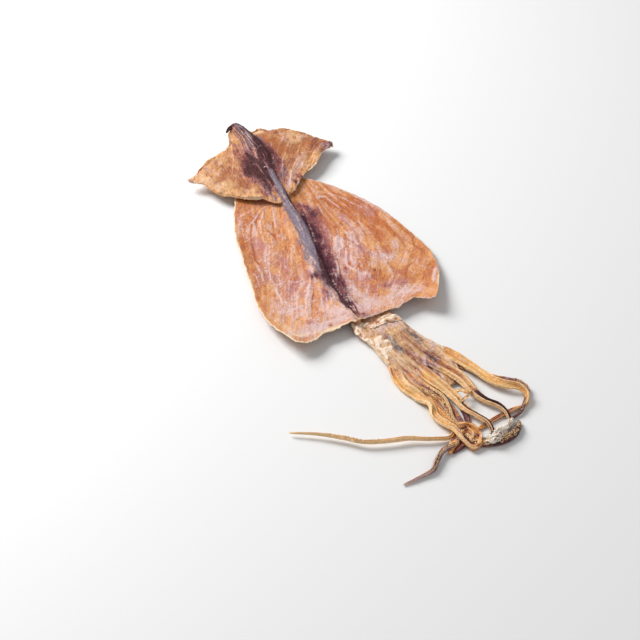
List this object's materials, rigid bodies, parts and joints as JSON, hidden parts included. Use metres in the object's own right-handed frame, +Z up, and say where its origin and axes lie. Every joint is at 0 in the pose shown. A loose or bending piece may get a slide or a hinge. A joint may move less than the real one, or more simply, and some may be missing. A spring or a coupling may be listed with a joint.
{
  "type": "dried squid",
  "caption": "Dried squid opened flat: leathery mantle with a raised keel, folded tail fins, a flattened head and curled, crossing arms.",
  "frame": {"origin": "on the surface the squid lies on, under the middle of its box", "axes": "+Y along the body from the arms to the tail tip, +X across the body to the right seen from above, +Z up"},
  "size_m": [0.1532, 0.3502, 0.0171],
  "materials": {
    "dried_flesh": "slightly glossy amber dried flesh, with grey-violet skin blotches and a dusting of pale bloom"
  },
  "bodies": {
    "root": {"dried_squid": "dried_flesh"}
  },
  "joints": []
}
